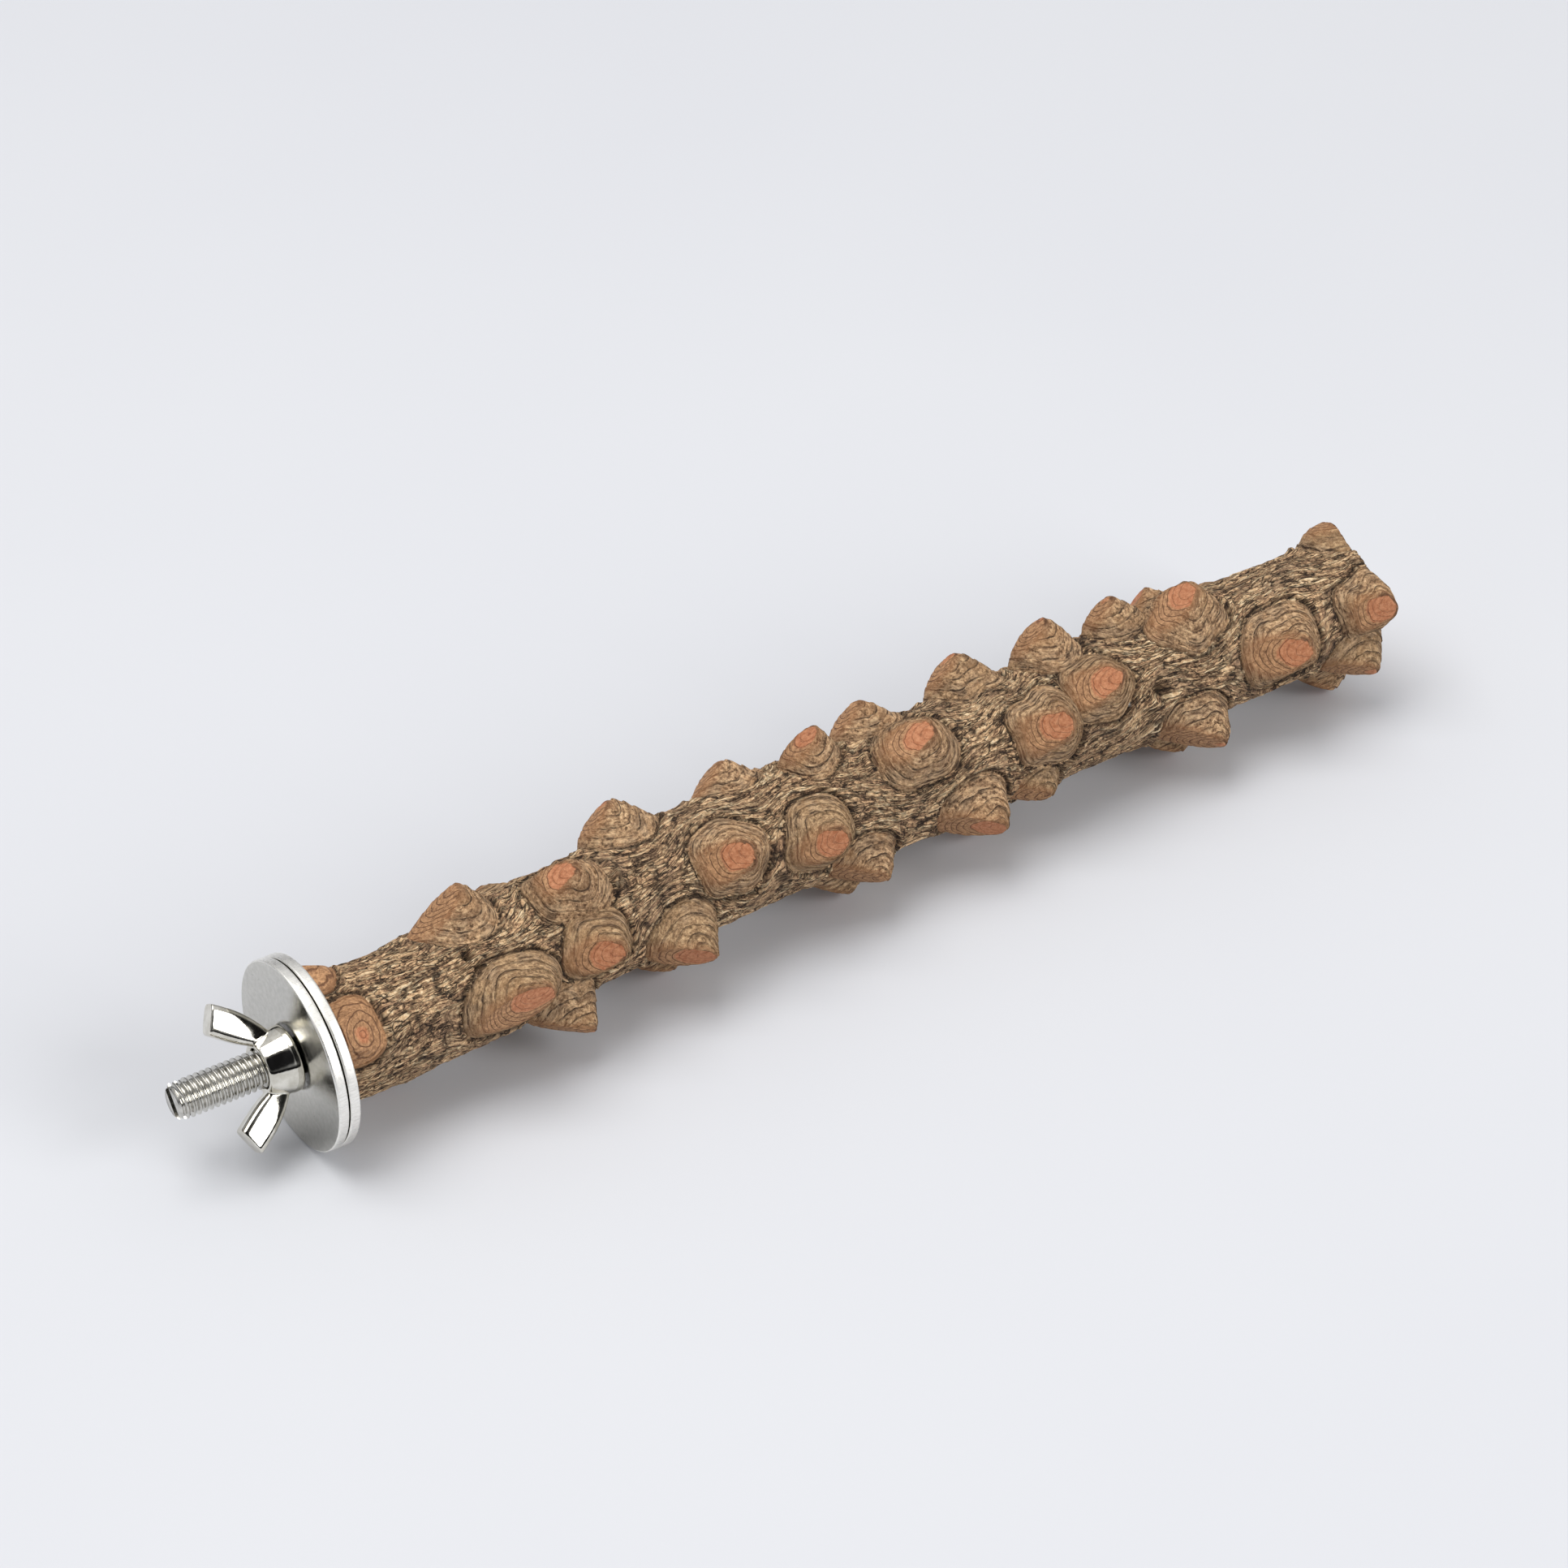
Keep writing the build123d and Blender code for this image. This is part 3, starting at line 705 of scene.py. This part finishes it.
def washer(name, back, front):
    """A ring: its section, an outer edge with two rounded corners and a bore, carried round the stud's axis."""
    corner = np.linspace(0, np.pi / 2, 9)
    fall_in, fall_out = washer_edge * (1 - np.sin(corner)), washer_edge * (1 - np.cos(corner))
    between = np.linspace(front + washer_edge, back - washer_edge, 4)[1:-1]
    x = np.concatenate([[front, front, front], front + fall_out, between, back - fall_in, [back, back, back]])
    r = np.concatenate([
        [washer_bore, 7.0, 11.0], washer_radius - fall_in, [washer_radius, washer_radius],
        washer_radius - fall_out, [11.0, 7.0, washer_bore],
    ])
    turn = np.linspace(0, 2 * np.pi, washer_columns, endpoint=False)[None, :]
    piece = skin(name, carried_round(x[:, None] + 0 * turn, r[:, None] + 0 * turn, turn), closed_rows=True)
    piece.data.materials.append(washer_steel)
    return piece


front_disc = washer("front_disc", -0.2, -1.9)
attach(front_disc, "front_washer")
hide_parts("front_washer")
rear_disc = washer("rear_disc", 1.7, 0.0)
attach(rear_disc, "rear_washer")
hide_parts("rear_washer")

# Wing nut: cast zinc, brightly plated, with a tapped hub and two thick wings that lean forward for finger and thumb.
# It runs on the stud and clamps the front washer against the cage bars.
wing_turn = np.radians(55)
hub_columns = 160
wing_rows, wing_columns = 40, 96
tip_rounding = 0.3
casting_voxel = 0.13


def hub_points():
    """The hub: its section, collar, barrel side and bevelled bore, carried round the stud's axis."""
    section = np.array([
        (-1.95, 3.1), (-1.95, 4.0), (-1.95, 4.85), (-2.1, 5.1), (-2.4, 5.2), (-3.2, 5.15), (-4.4, 4.85),
        (-5.6, 4.5), (-6.6, 4.15), (-7.0, 3.95), (-7.15, 3.7), (-7.15, 3.4), (-6.9, 3.1), (-4.5, 3.1),
    ])
    turn = np.linspace(0, 2 * np.pi, hub_columns, endpoint=False)[None, :]
    return carried_round(section[:, :1] + 0 * turn, section[:, 1:] + 0 * turn, turn)


def arched(share, start, pull, end):
    """A line from start to end that bends towards a third point: the quadratic curve through shares from 0 to 1."""
    start, pull, end = np.array(start), np.array(pull), np.array(end)
    return start * (1 - share) ** 2 + 2 * pull * share * (1 - share) + end * share**2


def wing_points(turn):
    """A wing: a rounded oblong section carried from the hub to the tip between its outer and inner edge lines,
    closed by rows that shrink it over a small rounding at the tip and inside the hub."""
    share = np.linspace(0, 1, wing_rows)[:, None]
    outer = arched(share, (-3.3, 3.7), (-5.6, 8.4), (-10.9, 11.6))
    inner = arched(share, (-6.9, 3.5), (-9.0, 4.2), (-12.9, 7.3))
    way = np.linspace(0, 2 * np.pi, wing_columns, endpoint=False)[None, :]
    across = np.sign(np.cos(way)) * np.abs(np.cos(way)) ** 0.5
    through = np.sign(np.sin(way)) * np.abs(np.sin(way)) ** 0.5
    bulge = np.sin(np.linspace(0, np.pi / 2, 8))[1:, None]
    ahead = outer[-1] + inner[-1] - outer[-3] - inner[-3]
    ahead = ahead / np.linalg.norm(ahead)
    centre, spread = (outer + inner) / 2, (outer - inner) / 2
    middle = np.concatenate([centre[:1], centre, centre[-1:] + tip_rounding * bulge * ahead])
    half = np.concatenate([0 * outer[:1], spread, spread[-1:] * (1 - bulge**6)])
    thick = np.concatenate([[[0.0]], 1.45 + 0.35 * share, 1.8 * (1 - bulge**6)])
    x = middle[:, :1] + half[:, :1] * across
    r = middle[:, 1:] + half[:, 1:] * across
    aside = thick * through
    return np.stack([x, r * np.cos(turn) - aside * np.sin(turn), r * np.sin(turn) + aside * np.cos(turn)], -1)


# hub and wings are melted into one casting at a thousand times its size, since skin divides by a thousand
blanks = [
    skin("hub_blank", hub_points() * 1000, closed_rows=True),
    skin("wing_blank_a", wing_points(wing_turn) * 1000),
    skin("wing_blank_b", wing_points(wing_turn + np.pi) * 1000),
]
cast = bmesh.new()
for blank in blanks:
    cast.from_mesh(blank.data)
    bpy.data.objects.remove(blank)
cast_mesh = bpy.data.meshes.new("cast_blank")
cast.to_mesh(cast_mesh)
cast.free()
cast_piece = placed("cast_blank", cast_mesh)
melt = cast_piece.modifiers.new("one_casting", "REMESH")
melt.mode, melt.voxel_size = "VOXEL", casting_voxel
polish = cast_piece.modifiers.new("tumbled", "SMOOTH")
polish.factor, polish.iterations = 0.5, 12
nut_mesh = bpy.data.meshes.new_from_object(cast_piece.evaluated_get(bpy.context.evaluated_depsgraph_get()))
bpy.data.objects.remove(cast_piece)
nut_mesh.name = "winged_nut"
places = np.zeros(3 * len(nut_mesh.vertices), np.float32)
nut_mesh.vertices.foreach_get("co", places)
nut_mesh.vertices.foreach_set("co", places / 1000)
nut_mesh.shade_smooth()
nut_mesh.materials.clear()
nut_mesh.materials.append(
    plated("nut_plating", tint(204, 200, 188), tint(232, 229, 220), 0.04, 0.1, 0.3, 0.5, 0.1)
)
winged_nut = placed("winged_nut", nut_mesh)
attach(winged_nut, "wing_nut")
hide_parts("wing_nut")

# Floor, light and camera: a flat pale cool sheet, a large soft lamp overhead and a fill lamp in front on the right.
# A dark band low in the sky, and a dark patch behind the camera, give the bright metal something to reflect.
# The camera stands where the photograph was taken from, above the near left corner, with a long lens.
floor_level = -0.01505
floor_half = 3.0
corners = [(floor_half * x, floor_half * y, floor_level) for x, y in ((-1, -1), (1, -1), (1, 1), (-1, 1))]
floor_mesh = bpy.data.meshes.new("floor")
floor_mesh.from_pydata(corners, [], [(0, 1, 2, 3)])
floor = placed("floor", floor_mesh)

# away from the part the sheet shows its own pale colour, so that low views have a pale background too
pale_sheet, tree, shader = finish(
    "pale_sheet", Roughness=0.85, Specular_IOR_Level=0.2, Emission_Color=tint(232, 234, 239)
)
place = node(tree, "TexCoord").outputs["Object"]
path = node(tree, "LightPath").outputs
seen = calc(tree, "MAXIMUM", path["Is Glossy Ray"], path["Is Transmission Ray"])
seen = calc(tree, "MAXIMUM", path["Is Camera Ray"], seen)
far = span(tree, node(tree, "VectorMath", {0: place}, operation="LENGTH").outputs["Value"], 0.5, 1.1)
glow = times(tree, far, seen)
sheet_colour = ramp(tree, noise(tree, place, 6.0, 3.0), (0.2, tint(208, 210, 216)), (0.8, tint(212, 214, 219)))
tree.links.new(blend(tree, glow, sheet_colour, tint(0, 0, 0)), shader.inputs["Base Color"])
tree.links.new(glow, shader.inputs["Emission Strength"])
floor.data.materials.append(pale_sheet)

world = bpy.data.worlds.new("studio")
bpy.context.scene.world = world
world.use_nodes = True
tree = world.node_tree
direction = node(tree, "TexCoord").outputs["Generated"]
sky = ramp(
    tree, node(tree, "SeparateXYZ", {"Vector": direction}).outputs["Z"],
    (0.0, tint(14, 14, 16)), (0.8, tint(255, 255, 255)), (0.14, tint(22, 22, 24)), (0.27, tint(220, 221, 224)),
)
patch_way = (-0.36, -0.68, 0.64)
toward = node(tree, "VectorMath", {0: direction, 1: patch_way}, operation="DOT_PRODUCT").outputs["Value"]
sky = blend(tree, span(tree, toward, 0.78, 0.92), sky, tint(34, 34, 36))
sky = blend(tree, node(tree, "LightPath").outputs["Is Camera Ray"], sky, (1.09, 1.11, 1.17, 1.0))
tree.links.new(sky, tree.nodes["Background"].inputs["Color"])
tree.nodes["Background"].inputs["Strength"].default_value = 0.74


def lamp(name, place, aim, size, power, colour):
    """A square soft lamp at a place, turned to face a point."""
    light = bpy.data.lights.new(name, "AREA")
    light.size, light.energy, light.color = size, power, colour
    made = placed(name, light)
    made.location = place
    made.rotation_euler = (Vector(aim) - Vector(place)).to_track_quat("-Z", "Y").to_euler()


lamp("key_lamp", (-0.3, 0.2, 1.3), (0.09, 0.0, 0.0), 1.0, 12.0, (1.0, 0.985, 0.96))
lamp("fill_lamp", (1.0, -1.6, 1.0), (0.08, 0.0, 0.0), 1.1, 23.0, (1.0, 0.99, 0.97))

lens = bpy.data.cameras.new("camera")
lens.lens, lens.sensor_width = 130.43, 36.0
lens.clip_start, lens.clip_end = 0.01, 20.0
camera = placed("camera", lens)
camera.location = (-0.279843, -0.571176, 0.541273)
azimuth, elevation = np.radians(-32.4801), np.radians(37.8704)
gaze = -Vector((np.sin(azimuth) * np.cos(elevation), -np.cos(azimuth) * np.cos(elevation), np.sin(elevation)))
camera.rotation_euler = gaze.to_track_quat("-Z", "Y").to_euler()
bpy.context.scene.camera = camera
bpy.context.scene.view_settings.view_transform = "Standard"
